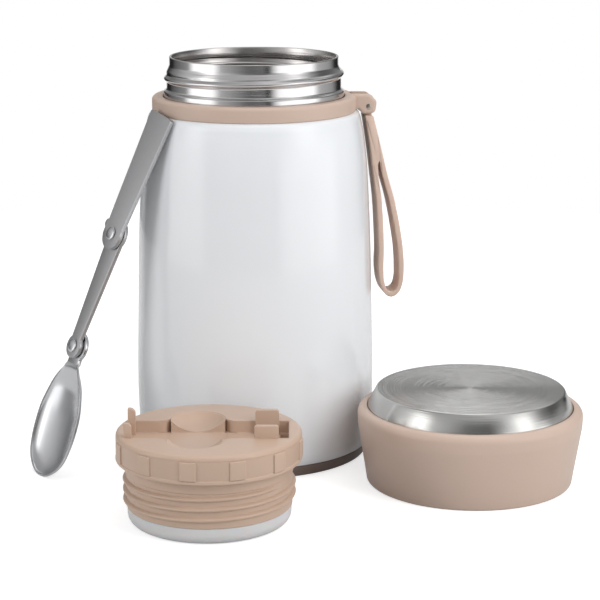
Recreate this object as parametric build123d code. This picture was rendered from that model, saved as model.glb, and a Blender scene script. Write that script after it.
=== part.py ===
from build123d import *
import os
from math import atan, cos, degrees, radians, sin

# Insulated food jar: a steel vacuum jar with its screw stopper, screw cap, folding spoon and carry strap.
# Millimetres. The origin is the centre of the jar's underside, +Z up, and the strap hangs on the +X side.
# The jar stands open: the stopper and the cap rest beside it and the spoon leans on the jar's shoulder.

# Jar
RIM_Z = 181.45  # the lip, above the table
RIM_R = 37.8  # the neck at the lip
NECK_R = 39.1  # the neck below its thread
NECK_FOOT_R = 40.5  # where the neck flares, in the collar
NECK_FLARE = (3.4, 2.3)  # the flare's ends, above the collar
NECK_THREAD_Z = 170.6
NECK_THREAD_PROUD = 1.2
SHOULDER_Z = 157.2  # the flat shoulder under the collar
SHOULDER_R = 46.4
BELLY_R = 54.0  # the widest place
BELLY_Z = 26.0
SHELL_FOOT_Z = 5.2  # the shell's lower edge
STEEL = 0.8  # wall of the vessel's shells
VESSEL_R = 44.0  # the inner vessel
VESSEL_FLOOR_Z = 14.0
VESSEL_TOP_Z = 147.0  # where the vessel starts to draw in towards the throat
THROAT_R = 34.7  # the step that the stopper's seal fits
THROAT_TOP_Z = 163.5
MOUTH_R = 36.8  # inside the lip
BASE_R = 50.9  # the base cup on the table
PAD_R = 38.0
THREAD_LEAD = 4.3

# Collar and the strap's hinge
COLLAR_R = 45.7
COLLAR_BORE_R = 40.8
COLLAR_Z = 164.0
STRAP_AZIMUTH = 9.0
PIN_REACH = 51.0  # from the jar's axis to the pin
PIN_Z = 158.4
PIN_R = 1.5
LUG_TOP_Z = 164.0
LUG_FOOT_Z = 155.1
LUG_ROUNDING = 1.9
CLEVIS_WIDTH = 14.0
CLEVIS_GAP = 6.4
STRAP_WIDTH = 13.0
HUB_WIDTH = 5.8
HUB_R = 2.8
RUNNING = 0.05  # radial clearance of a pin that turns

# Stopper, in its own frame: its axis at the origin, standing on its seal
STOPPER_AT = (-17.0, -102.8)
SEAL_R = 34.2
SEAL_Z = 7.3
SEAL_WALL = 1.7
PLUG_R = 34.5
THREAD_R = 35.9
THREAD_TURNS = 2.6
THREAD_START_Z = 9.2
BAND_R = 35.0
FLANGE_R = 38.5
FLANGE_Z = 27.0
GRIP_Z = (28.6, 36.4)
GRIPS = 12
GRIP_PROUD = 0.6
GRIP_ANGLE = 10.0  # how far round a grip reaches
GRIP_FIRST = 255.7  # where the first grip stands
SEAM_Z = 36.8  # the plate meets the flange
PLATE_Z = 38.7
TRAY_HALF = (33.0, 12.3)
TRAY_FLOOR_Z = 33.2
SCOOP_AT = (-5.2, 15.0)
SCOOP_R = 11.6
SCOOP_DEEP = 5.2
TRAY_WALL = 1.5
CLIP_THICK = 2.4
# pairs of snap hooks: from and to along the tray, half the gap between them, their top, their roundings
WIDE_CLIPS = (19.0, 28.9, 10.3, 43.9, (1.1, 1.1))
NARROW_CLIPS = (-34.3, -31.1, 9.4, 44.7, (0.3, 2.2))
FOAM_TOP_Z = 31.0  # the foam in the plug ends under the tray
PLASTIC = 2.0

# Cap, in its own frame: its axis at the origin, standing on its rim
CAP_AT = (95.3, -49.4)
CAP_FOOT_R = 45.0
CAP_WIDE_R = 49.5
CAP_BEND_Z = 26.0  # where the side starts to round over
CAP_RING_Z = 33.8  # where the steel top meets the shell
DISH_FOOT_R = 45.0
DISH_R = 41.2
DISH_Z = 41.4
CEILING_Z = 37.0  # inside, above the table
CAP_MOUTH_R = 41.9
LINER_GAP = 2.3  # from the shell's foot circle in to the liner
LINER_WALL = 1.4

# Spoon, in its own frame: X across, Y up along it, Z out of the bowl, its tip at the origin
SPOON_AT = (-94.66, -47.25)
SPOON_AZIMUTH = 216.0  # the side of the jar on which it leans
SPOON_LEAN = 20.95  # from upright
BOWL_LENGTH = 54.0
BOWL_TIP = (-0.4, 0.0)
BOWL_HALF = 16.8
# how wide the bowl is at places up it, as a share of its half width
BOWL_SHAPE = ((0.85, 9.0), (1.0, 24.0), (0.85, 37.0), (0.67, 43.8), (0.43, 49.0))
BOWL_DEEP = 5.2
SHEET = 1.2
NECK_HALF = 4.3
RIVET_2 = (-1.8, 59.6)  # between the bowl and the middle link
RIVET_1 = (5.6, 112.3)  # between the middle link and the end link
SPOON_TOP = (16.4, 168.2)
MIDDLE_HALVES = (3.6, 6.3)  # half widths of the middle link at its ends
END_HALVES = (6.4, 9.0)
TAB_AT = (-6.0, 2.8)  # the stop beside the upper rivet, from the rivet along the end link
TAB_R = 2.2
LINK = 1.8  # thickness of a link
LAYER = 2.3  # from one link's face to the next one's: the link, its washer and the play
WASHER = 0.3
WASHER_R = 4.6
DISC_R = 6.9
RIVET_R = 1.9
RIVET_HEAD_R = 3.0
RIVET_HEAD = 1.1  # how far a head stands up


def outline(*corners):
    """A flat face between corners, each of which is (x, y) or (x, y, rounding)."""
    face = make_face(Polyline(*[corner[:2] for corner in corners], close=True))
    for corner in corners:
        if len(corner) == 3:
            nearest = face.vertices().sort_by_distance((corner[0], corner[1], 0))[0]
            face = fillet(nearest, corner[2])
    return face


def turned(*corners):
    """A solid of revolution about Z. Its section's corners are (radius, height) or (radius, height, rounding)."""
    return revolve(Plane.XZ * outline(*corners), Axis.Z)


def disc(radius, low, high):
    """A plain round plate between two heights."""
    return Pos(0, 0, low) * Cylinder(radius, high - low, align=(Align.CENTER, Align.CENTER, Align.MIN))


def block(low, high):
    """A box between two corners."""
    size = [b - a for a, b in zip(low, high)]
    return Pos(*low) * Box(*size, align=(Align.MIN, Align.MIN, Align.MIN))


def bead(radius, start_z, turns, half_width, proud, start_angle=0.0):
    """A right-handed thread ridge, round in section, whose crest stands out of a wall of this radius."""
    path = Helix(pitch=THREAD_LEAD, height=THREAD_LEAD * turns, radius=radius)
    start = Plane(origin=path @ 0, x_dir=(1, 0, 0), z_dir=path % 0)
    ridge = sweep(start * Ellipse(proud, half_width), path=path, is_frenet=True)
    return Pos(0, 0, start_z) * (Rot(0, 0, start_angle) * ridge)


# ---- Jar ----


def body_curve(inset):
    """The shell's side as a curve from its foot to the shoulder, moved in by the wall."""
    side = ((53.3, 9.0), (BELLY_R, BELLY_Z), (53.4, 69.0), (51.75, 118.0), (50.3, 139.0), (48.4, 151.6))
    return Spline(*[(r - inset, z) for r, z in side])


def make_outer_shell():
    """The painted outer shell: a drawn can with a rolled-in foot and a flat shoulder, open at both ends."""
    outer = body_curve(0.0)
    inner = body_curve(STEEL)
    foot = SHELL_FOOT_Z
    flat = (-1, 0)
    shoulder = Spline(outer @ 1, (47.6, 155.0), (SHOULDER_R - 0.9, SHOULDER_Z), tangents=[outer % 1, flat])
    inner_end = (SHOULDER_R - 1.6, SHOULDER_Z - STEEL)
    under = Spline(inner @ 1, (46.6, 154.6), inner_end, tangents=[inner % 1, flat])
    section = make_face(
        [
            outer,
            shoulder,
            Polyline(shoulder @ 1, (NECK_R, SHOULDER_Z), (NECK_R, SHOULDER_Z - STEEL), under @ 1),
            under,
            inner,
            Polyline(inner @ 0, (51.4, foot + 1), (51.4, foot), (52.4, foot), outer @ 0),
        ]
    )
    return revolve(Plane.XZ * section, Axis.Z)


def make_shell_bottom():
    """The steel disc welded into the shell's foot, which closes the vacuum space."""
    low, high, rim = 6.6, 8.6, 51.2
    return turned(
        (0, high),
        (38.0, high),
        (42.0, low),
        (rim, low),
        (rim, low + STEEL),
        (42.3, low + STEEL),
        (38.3, high + STEEL),
        (0, high + STEEL),
    )


def make_neck_sleeve():
    """The bare upper end of the outer wall: the neck with its rolled thread for the cap."""
    wall = turned(
        (RIM_R - 0.5, RIM_Z - 0.5),
        (RIM_R, RIM_Z - 0.5),
        (RIM_R, 177.6),
        (NECK_R, 174.6),
        (NECK_R, COLLAR_Z + NECK_FLARE[0]),
        (NECK_FOOT_R, COLLAR_Z + NECK_FLARE[1]),
        (NECK_FOOT_R, SHOULDER_Z),
        (NECK_FOOT_R - STEEL, SHOULDER_Z),
        (NECK_FOOT_R - STEEL, COLLAR_Z + NECK_FLARE[1] - 0.3),
        (NECK_R - STEEL, COLLAR_Z + NECK_FLARE[0] - 0.3),
        (NECK_R - STEEL, 174.5),
        (RIM_R - 0.5, 177.5),
    )
    return wall + bead(NECK_R, NECK_THREAD_Z, 1.0, 1.5, NECK_THREAD_PROUD, start_angle=82.0)


def make_inner_vessel():
    """The inner can, drawn in at the throat and flared to the lip, with a rolled thread for the stopper."""
    wall = turned(
        (0, VESSEL_FLOOR_Z - STEEL),
        (VESSEL_R, VESSEL_FLOOR_Z - STEEL, 10.0),
        (VESSEL_R, VESSEL_TOP_Z, 7.0),
        (THROAT_R + STEEL, 155.0, 3.0),
        (THROAT_R + STEEL, THROAT_TOP_Z),
        (MOUTH_R + STEEL - 0.35, THROAT_TOP_Z + 1.6),
        (MOUTH_R + 0.45, RIM_Z - 0.5),
        (RIM_R, RIM_Z - 0.5),
        (RIM_R, RIM_Z),
        (MOUTH_R, RIM_Z),
        (MOUTH_R, THROAT_TOP_Z + 2.2),
        (THROAT_R, THROAT_TOP_Z + 0.7),
        (THROAT_R, 155.0, 3.8),
        (VESSEL_R - STEEL, VESSEL_TOP_Z - 0.5, 6.2),
        (VESSEL_R - STEEL, VESSEL_FLOOR_Z, 9.2),
        (0, VESSEL_FLOOR_Z),
    )
    return wall + bead(MOUTH_R + 0.1, 168.6, 1.6, 1.0, 0.9)


def make_getter():
    """The gas-absorbing pellet on the floor of the vacuum space."""
    return disc(9.0, 9.4, 11.0)


def make_base_cup():
    """The plastic cup under the jar: the taupe ring seen at the foot and the floor that carries the pad."""
    return turned(
        (0, 3.0),
        (PAD_R + 0.2, 3.0),
        (PAD_R + 0.2, 0.0),
        (BASE_R, 0.0, 0.8),
        (52.3, SHELL_FOOT_Z - 0.2),
        (51.1, SHELL_FOOT_Z - 0.2),
        (51.1, 6.5),
        (49.0, 6.5),
        (48.4, 4.6),
        (0, 4.6),
    )


def make_base_pad():
    """The rubber disc that the jar stands on."""
    return disc(PAD_R, 0.0, 2.9)


# ---- Collar and strap ----

STRAP_FRAME = Rot(0, 0, STRAP_AZIMUTH)


def across(face, width):
    """Extrudes a face, drawn in radius and height on the strap's side, evenly to both sides."""
    return STRAP_FRAME * extrude(Plane.XZ * face, width / 2, both=True)


def across_direction():
    """The direction of the strap's hinge."""
    return (-sin(radians(STRAP_AZIMUTH)), cos(radians(STRAP_AZIMUTH)), 0)


def pin_cylinder(radius, width):
    """A cylinder on the strap's hinge axis."""
    return across(Pos(PIN_REACH, PIN_Z) * Circle(radius), width)


def make_collar():
    """The collar ring that covers the weld, moulded with the two ears of the strap's hinge."""
    ring = turned(
        (COLLAR_BORE_R, SHOULDER_Z),
        (COLLAR_R, SHOULDER_Z, 0.5),
        (COLLAR_R, COLLAR_Z, 1.6),
        (COLLAR_BORE_R, COLLAR_Z, 0.5),
    )
    inner = COLLAR_R - 2.2
    side = outline(
        (inner, LUG_TOP_Z),
        (PIN_REACH + 1.2, LUG_TOP_Z - 0.2, 2.5),
        (PIN_REACH + 3.9, PIN_Z + 2.1, 2.0),
        (PIN_REACH + 3.2, LUG_FOOT_Z, 2.4),
        (48.4, LUG_FOOT_Z),
        (46.8, SHOULDER_Z + 0.2),
        (inner, SHOULDER_Z + 0.2),
    )
    lug = across(side, CLEVIS_WIDTH)
    faces = lug.faces().sort_by(Axis((0, 0, 0), across_direction()))
    lug = fillet(faces[0].edges() + faces[-1].edges(), LUG_ROUNDING)
    slot = across(Pos(51.5, PIN_Z) * Rectangle(9.2, 14.0), CLEVIS_GAP)
    web = across(Pos(46.0, COLLAR_Z - 0.5) * Rectangle(5.0, 5.0), CLEVIS_GAP)
    bore = disc(COLLAR_BORE_R, SHOULDER_Z, COLLAR_Z)
    return ring + (lug - bore) - slot - web - pin_cylinder(PIN_R, 20.0)


def make_strap_pin():
    """The steel pin held by the ears, on which the strap swings."""
    return pin_cylinder(PIN_R, CLEVIS_WIDTH + 0.3)


def make_strap():
    """The silicone strap in one piece: a hub on the pin, a stem and a loop for a finger."""
    outer = Spline(
        (49.9, 154.3), (51.3, 145.8), (52.6, 136.9), (53.7, 127.9), (55.2, 115.8), (56.0, 103.7),
        (56.5, 91.4), (56.4, 82.3), (57.4, 76.0), (58.9, 72.4), (60.2, 70.9), (62.4, 70.0), (64.6, 70.8), (66.1, 72.3),
        (67.6, 76.0), (68.2, 81.8), (67.8, 91.1), (66.0, 103.4), (63.4, 115.5), (59.9, 127.7), (57.7, 136.8),
        (55.5, 145.7), (53.3, 154.1),
    )
    opening = Spline(
        (56.1, 133.0), (55.95, 127.9), (57.5, 115.7), (58.4, 103.6), (58.8, 91.4), (58.7, 82.2), (59.1, 77.4),
        (60.6, 73.4), (62.5, 72.3), (64.5, 73.4), (65.8, 77.3), (65.9, 81.9), (65.4, 91.1), (63.5, 103.4),
        (61.0, 115.6), (57.6, 127.8), (56.5, 133.0),
    )
    tip = ThreePointArc((56.5, 133.0), (56.3, 133.35), (56.1, 133.0))
    band = make_face([outer, Line(outer @ 1, outer @ 0)]) - make_face([opening, tip])
    band = across(band, STRAP_WIDTH)
    stem = across(outline((49.4, 158.0), (52.9, 158.0), (53.35, 153.8), (49.95, 153.8)), HUB_WIDTH)
    return band + stem + pin_cylinder(HUB_R, HUB_WIDTH) - pin_cylinder(PIN_R + RUNNING, 20.0)


# ---- Stopper ----


def make_stopper_seal():
    """The soft seal, a shallow cup snapped over the end of the plug."""
    inner = SEAL_R - SEAL_WALL
    return turned((0, 0), (SEAL_R, 0, 3.2), (SEAL_R, SEAL_Z), (inner, SEAL_Z), (inner, 1.5, 1.6), (0, 1.5))


def grip(angle):
    """One grip rib on the flange's side."""
    wedge = make_face(
        Polyline(
            (0, 0),
            (60 * cos(radians(GRIP_ANGLE / 2)), -60 * sin(radians(GRIP_ANGLE / 2))),
            (60 * cos(radians(GRIP_ANGLE / 2)), 60 * sin(radians(GRIP_ANGLE / 2))),
            close=True,
        )
    )
    rib = turned(
        (FLANGE_R - 1.0, GRIP_Z[0]),
        (FLANGE_R + GRIP_PROUD, GRIP_Z[0]),
        (FLANGE_R + GRIP_PROUD, GRIP_Z[1]),
        (FLANGE_R - 1.0, GRIP_Z[1]),
    )
    return Rot(0, 0, angle) * (rib & Pos(0, 0, GRIP_Z[0] - 5) * extrude(wedge, 20.0))


def make_stopper_body():
    """The threaded plug: a hollow cup with a flange that rests on the jar's lip."""
    body = turned(
        (0, 1.7),
        (SEAL_R - 1.9, 1.7, 1.5),
        (SEAL_R - 1.9, SEAL_Z + 0.1),
        (PLUG_R, SEAL_Z + 0.1, 0.3),
        (PLUG_R, 22.0),
        (BAND_R, 22.5),
        (BAND_R, FLANGE_Z - 2.6),
        (FLANGE_R - 1.2, FLANGE_Z - 1.6, 1.0),
        (FLANGE_R, FLANGE_Z + 0.6, 1.0),
        (FLANGE_R, SEAM_Z),
        (FLANGE_R - 2.0, SEAM_Z),
        (FLANGE_R - 2.0, FLANGE_Z + 1.0, 1.0),
        (PLUG_R - PLASTIC, FLANGE_Z - 2.4, 1.0),
        (PLUG_R - PLASTIC, SEAL_Z + 2.4),
        (SEAL_R - 1.9 - PLASTIC, SEAL_Z + 1.0),
        (SEAL_R - 1.9 - PLASTIC, 3.7),
        (0, 3.7),
    )
    proud = THREAD_R - PLUG_R + 0.2
    body += bead(PLUG_R - 0.2, THREAD_START_Z, THREAD_TURNS, 1.25, proud, start_angle=150.0)
    for number in range(GRIPS):
        body += grip(GRIP_FIRST + number * 360 / GRIPS)
    return body


def clip(low_x, high_x, inner_y, height, rounding):
    """A pair of snap hooks that face each other over the tray, rounded towards the tray's middle."""
    post = block((low_x, inner_y, TRAY_FLOOR_Z - 0.4), (high_x, inner_y + CLIP_THICK, height))
    top = post.edges().filter_by(Axis.Y).group_by(Axis.Z)[-1].sort_by(Axis.X)
    post = fillet(top[0], rounding[0])
    top = post.edges().filter_by(Axis.Y).group_by(Axis.Z)[-1].sort_by(Axis.X)
    post = fillet(top[-1], rounding[1])
    return post + mirror(post, Plane.XZ)


def make_stopper_plate():
    """The stopper's top: a plate with the spoon's tray, two finger scoops and two pairs of snap hooks."""
    plate = turned((0, SEAM_Z), (FLANGE_R, SEAM_Z), (FLANGE_R, PLATE_Z, 1.7), (0, PLATE_Z))
    inside = disc(FLANGE_R - 3.0, TRAY_FLOOR_Z - 1.6, PLATE_Z)
    half_x, half_y = TRAY_HALF
    wide_x, wide_y = half_x + TRAY_WALL, half_y + TRAY_WALL
    tub = block((-wide_x, -wide_y, TRAY_FLOOR_Z - TRAY_WALL), (wide_x, wide_y, SEAM_Z)) & inside
    scoop_radius = (SCOOP_R**2 + SCOOP_DEEP**2) / (2 * SCOOP_DEEP)
    lift = PLATE_Z - SCOOP_DEEP + scoop_radius
    plate += tub
    scoops = [Pos(SCOOP_AT[0], side * SCOOP_AT[1], lift) for side in (-1, 1)]
    for scoop in scoops:
        under = scoop * Sphere(scoop_radius + TRAY_WALL)
        plate += under & disc(FLANGE_R - 3.0, TRAY_FLOOR_Z - TRAY_WALL, PLATE_Z - 0.5)
    for scoop in scoops:
        plate -= scoop * Sphere(scoop_radius)
    channel = block((-half_x, -half_y, TRAY_FLOOR_Z), (half_x, half_y, PLATE_Z + 1))
    plate -= channel & disc(FLANGE_R - 3.6, TRAY_FLOOR_Z, PLATE_Z + 1)
    return plate + clip(*WIDE_CLIPS) + clip(*NARROW_CLIPS)


def make_stopper_foam():
    """The insulating foam that fills the plug."""
    low = 4.0
    wide = PLUG_R - PLASTIC - 0.4
    narrow = SEAL_R - PLASTIC - 2.4
    return turned(
        (0, low),
        (narrow, low),
        (narrow, SEAL_Z + 2.0),
        (wide, SEAL_Z + 2.8),
        (wide, FOAM_TOP_Z),
        (0, FOAM_TOP_Z),
    )


# ---- Cap ----


def make_cap_shell():
    """The cap's plastic shell, wider above than below, with a seat for the steel top."""
    seat = DISH_FOOT_R + 0.2
    return turned(
        (CAP_FOOT_R - LINER_GAP + 0.1, 0.0),
        (CAP_FOOT_R, 0.0, 1.4),
        (CAP_WIDE_R - 0.35, CAP_BEND_Z),
        (CAP_WIDE_R, CAP_RING_Z, 3.2),
        (seat, CAP_RING_Z),
        (seat, CAP_RING_Z - 2.2),
        (seat - 2.2, CAP_RING_Z - 2.2),
        (seat - 2.2, CAP_RING_Z - 4.2),
        (CAP_WIDE_R - 2.6, CAP_BEND_Z),
        (CAP_FOOT_R - LINER_GAP + 0.1, 4.0),
    )


def make_cap_top():
    """The spun steel dish that covers the cap."""
    low = CAP_RING_Z - 2.1
    inner = DISH_FOOT_R - STEEL
    return turned(
        (0, DISH_Z - STEEL),
        (DISH_R - 0.6, DISH_Z - STEEL, 0.9),
        (inner, CAP_RING_Z - 0.2),
        (inner, low),
        (DISH_FOOT_R, low),
        (DISH_FOOT_R, CAP_RING_Z),
        (DISH_R, DISH_Z, 1.6),
        (0, DISH_Z),
    )


def make_cap_liner():
    """The cap's inner bowl, with the thread that takes the neck's rolled ridge."""
    outer = CAP_FOOT_R - LINER_GAP
    bowl = turned(
        (CAP_MOUTH_R, 0.6),
        (outer, 0.6),
        (outer, 3.8),
        (CAP_MOUTH_R + LINER_WALL, 24.0),
        (CAP_MOUTH_R - 1.6, CEILING_Z + LINER_WALL, 4.0),
        (0, CEILING_Z + LINER_WALL),
        (0, CEILING_Z),
        (CAP_MOUTH_R - 3.0, CEILING_Z, 3.4),
        (CAP_MOUTH_R, 24.0),
    )
    thread = bead(CAP_MOUTH_R + 0.3, 6.4, 1.2, 1.1, CAP_MOUTH_R + 0.3 - NECK_R - 0.5)
    return bowl + (thread & disc(outer - 0.1, 0.0, CEILING_Z))


def make_cap_foam():
    """The insulating foam between the cap's liner and its steel top."""
    return disc(CAP_MOUTH_R - 5.0, CEILING_Z + LINER_WALL + 0.1, DISH_Z - STEEL - 0.1)


def make_cap_gasket():
    """The soft ring inside the cap's mouth, which closes on the collar."""
    inner, outer = CAP_MOUTH_R + 0.1, CAP_FOOT_R - LINER_GAP
    return turned((inner, 0.0), (outer, 0.0), (outer, 0.5), (inner, 0.5))


# ---- Spoon ----


def heading(start, end):
    """The angle, from straight up, of a line in the spoon's plane."""
    return degrees(atan((end[0] - start[0]) / (end[1] - start[1])))


def along(start, end):
    """The place and turn of a piece that starts at one place and points to another."""
    return Pos(start[0], start[1]) * Rot(0, 0, -heading(start, end))


def span(start, end):
    """The distance between two places in the spoon's plane."""
    return ((end[0] - start[0]) ** 2 + (end[1] - start[1]) ** 2) ** 0.5


def bowl_solid(inset, depth):
    """A round-ended egg, flattened to a depth, whose long outline is the bowl's."""
    side = [(BOWL_HALF * share - inset, place) for share, place in BOWL_SHAPE]
    edge = Spline((0, inset), *side, (NECK_HALF - inset, BOWL_LENGTH), tangents=[(1, 0), (-0.2, 1)])
    top = Polyline(edge @ 1, (0, BOWL_LENGTH), (0, inset))
    egg = revolve(make_face([edge, top]), Axis.Y)
    return scale(egg, (1, 1, depth / (BOWL_HALF - inset)))


def make_spoon_bowl():
    """The bowl, its neck and the disc that the middle link turns on, stamped from one sheet."""
    reach = span(BOWL_TIP, RIVET_2)
    below = block((-30, -1, -20), (30, 70, 0))
    shell = (bowl_solid(0.0, BOWL_DEEP) - bowl_solid(SHEET, BOWL_DEEP - SHEET)) & below
    neck_at = Pos(0, (BOWL_LENGTH + reach) / 2 - 1)
    neck = extrude(neck_at * Rectangle(2 * NECK_HALF, reach - BOWL_LENGTH + 4), -LINK)
    head = extrude(Pos(0, reach) * Circle(DISC_R - 0.3), -LINK)
    hole = Pos(0, reach) * Cylinder(RIVET_R, 20)
    return along(BOWL_TIP, RIVET_2) * (shell + neck + head - hole)


def link(start, end, halves, start_r, disc_r, level):
    """A tapered flat link between two places, with a round start and a disc or a stop tab."""
    length = span(start, end)
    start_half, end_half = halves
    shape = make_face(
        Polyline((-start_half, 0), (start_half, 0), (end_half, length), (-end_half, length), close=True)
    )
    if disc_r:
        shape += Pos(0, length) * Circle(disc_r)
    else:
        shape = fillet(shape.vertices().group_by(Axis.Y)[-1], 1.2) + Pos(*TAB_AT) * Circle(TAB_R)
    shape += Circle(start_r)
    return along(start, end) * (Pos(0, 0, level) * extrude(shape, LINK))


def rivet_hole(place, radius):
    """The hole through a link at a rivet."""
    return Pos(*place) * Cylinder(radius, 40)


def rivet(place, low, high):
    """A rivet with a flush back and a domed head on the spoon's open side."""
    at = Pos(place[0], place[1])
    head = turned((0, 0), (RIVET_HEAD_R, 0), (RIVET_HEAD_R, RIVET_HEAD, 0.7), (0, RIVET_HEAD))
    return at * (disc(RIVET_R, low, high) + Pos(0, 0, high) * head)


def washer(place, low):
    """The thin spring washer between two links."""
    return Pos(place[0], place[1]) * disc(WASHER_R, low, low + WASHER) - rivet_hole(place, RIVET_R)


def make_spoon():
    """The spoon's pieces by name, flat in the spoon's own frame."""
    middle = link(RIVET_2, RIVET_1, MIDDLE_HALVES, 5.3, DISC_R, LAYER - LINK)
    end = link(RIVET_1, SPOON_TOP, END_HALVES, 7.0, None, 2 * LAYER - LINK)
    play = (LAYER - LINK - WASHER) / 2
    return {
        "spoon_bowl": make_spoon_bowl(),
        "spoon_middle_link": middle - rivet_hole(RIVET_2, RIVET_R + RUNNING) - rivet_hole(RIVET_1, RIVET_R),
        "spoon_end_link": end - rivet_hole(RIVET_1, RIVET_R + RUNNING),
        "rivet_lower": rivet(RIVET_2, -LINK, LAYER + play),
        "rivet_upper": rivet(RIVET_1, LAYER - LINK, 2 * LAYER + play),
        "washer_lower": washer(RIVET_2, 0.0),
        "washer_upper": washer(RIVET_1, LAYER),
    }


def spoon_frame():
    """The spoon's frame as a plane: its tip over its place on the table, its back towards the jar."""
    azimuth, lean = radians(SPOON_AZIMUTH), radians(SPOON_LEAN)
    out = (cos(azimuth), sin(azimuth))
    across_spoon = (-out[1], out[0], 0)
    normal = (out[0] * cos(lean), out[1] * cos(lean), sin(lean))
    return Plane(origin=(SPOON_AT[0], SPOON_AT[1], 0), x_dir=across_spoon, z_dir=normal)


def main():
    stopper = Pos(STOPPER_AT[0], STOPPER_AT[1], 0)
    cap = Pos(CAP_AT[0], CAP_AT[1], 0)
    pieces = {
        "base_pad": make_base_pad(),
        "base_cup": make_base_cup(),
        "outer_shell": make_outer_shell(),
        "shell_bottom": make_shell_bottom(),
        "getter": make_getter(),
        "neck_sleeve": make_neck_sleeve(),
        "inner_vessel": make_inner_vessel(),
        "collar": make_collar(),
        "strap_pin": make_strap_pin(),
        "carry_strap": make_strap(),
        "stopper_seal": stopper * make_stopper_seal(),
        "stopper_body": stopper * make_stopper_body(),
        "stopper_plate": stopper * make_stopper_plate(),
        "stopper_foam": stopper * make_stopper_foam(),
        "cap_shell": cap * make_cap_shell(),
        "cap_top": cap * make_cap_top(),
        "cap_liner": cap * make_cap_liner(),
        "cap_foam": cap * make_cap_foam(),
        "cap_gasket": cap * make_cap_gasket(),
    }
    leaning = {name: spoon_frame() * piece for name, piece in make_spoon().items()}
    lift = Pos(0, 0, -leaning["spoon_bowl"].bounding_box().min.Z)
    for name, piece in leaning.items():
        pieces[name] = lift * piece
    os.makedirs("parts", exist_ok=True)
    for name, piece in pieces.items():
        piece.label = name
        export_step(piece, f"parts/{name}.step")


main()
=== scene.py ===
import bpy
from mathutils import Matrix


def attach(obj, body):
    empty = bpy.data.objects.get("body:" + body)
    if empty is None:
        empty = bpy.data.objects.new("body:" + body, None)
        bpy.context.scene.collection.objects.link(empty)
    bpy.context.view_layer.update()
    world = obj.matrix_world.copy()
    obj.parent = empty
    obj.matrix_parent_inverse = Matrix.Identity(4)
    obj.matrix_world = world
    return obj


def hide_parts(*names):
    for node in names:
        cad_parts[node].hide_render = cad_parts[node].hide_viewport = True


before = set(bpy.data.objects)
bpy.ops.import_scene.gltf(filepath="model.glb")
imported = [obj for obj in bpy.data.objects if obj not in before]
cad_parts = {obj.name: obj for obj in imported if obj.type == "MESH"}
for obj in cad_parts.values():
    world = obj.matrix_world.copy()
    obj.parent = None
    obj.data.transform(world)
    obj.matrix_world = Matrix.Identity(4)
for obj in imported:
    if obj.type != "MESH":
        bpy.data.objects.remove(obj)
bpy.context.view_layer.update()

import math

import bmesh
import bpy
from mathutils import Matrix, Vector

# ---- Studio ----
# A pale round table in a white studio, with soft boxes at both sides and overhead and a camera a little above the
# jar's rim. The table stays pale for the camera and in the gloss, and keeps the soft shadow under each piece. The
# studio's walls are white to the camera; the gloss sees dark and light panels round it, as steel does in a real one.

bpy.context.scene.view_settings.view_transform = "Standard"

camera = bpy.data.objects.new("camera", bpy.data.cameras.new("camera"))
bpy.context.scene.collection.objects.link(camera)
bpy.context.scene.camera = camera
camera.data.sensor_width = 36.0
camera.data.lens = 120.82
camera.location = (0.0206, -0.900, 0.2808)
camera.rotation_euler = (math.radians(76.78), 0.0, 0.0)


def soft_box(name, place, target, width, height, power):
    """A rectangular soft light that stands at a place and faces a target, both in metres."""
    lamp = bpy.data.objects.new(name, bpy.data.lights.new(name, "AREA"))
    bpy.context.scene.collection.objects.link(lamp)
    lamp.data.shape = "RECTANGLE"
    lamp.data.size = width
    lamp.data.size_y = height
    lamp.data.energy = power
    lamp.visible_glossy = False
    lamp.location = place
    lamp.rotation_euler = (Vector(target) - Vector(place)).to_track_quat("-Z", "Y").to_euler()


soft_box("left_box", (-1.14, -0.5, 0.42), (0, 0, 0.08), 0.5, 0.9, 6.0)
soft_box("right_box", (1.03, -0.81, 0.75), (0, 0, 0.08), 0.6, 1.1, 10.5)
soft_box("top_box", (0.15, 0.1, 1.3), (0, 0, 0), 1.2, 0.8, 5.0)


class Amount:
    """A value that varies over a surface. Python's operators on it add Math nodes to its finish."""

    def __init__(self, finish, socket):
        self.finish = finish
        self.socket = socket

    def maths(self, operation, *values):
        return self.finish.node("ShaderNodeMath", {"operation": operation}, dict(enumerate(values)))

    def __add__(self, other):
        return self.maths("ADD", self, other)

    def __radd__(self, other):
        return self.maths("ADD", other, self)

    def __sub__(self, other):
        return self.maths("SUBTRACT", self, other)

    def __rsub__(self, other):
        return self.maths("SUBTRACT", other, self)

    def __mul__(self, other):
        return self.maths("MULTIPLY", self, other)

    def __rmul__(self, other):
        return self.maths("MULTIPLY", other, self)

    def __truediv__(self, other):
        return self.maths("DIVIDE", self, other)

    def __pow__(self, other):
        return self.maths("POWER", self, other)


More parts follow.
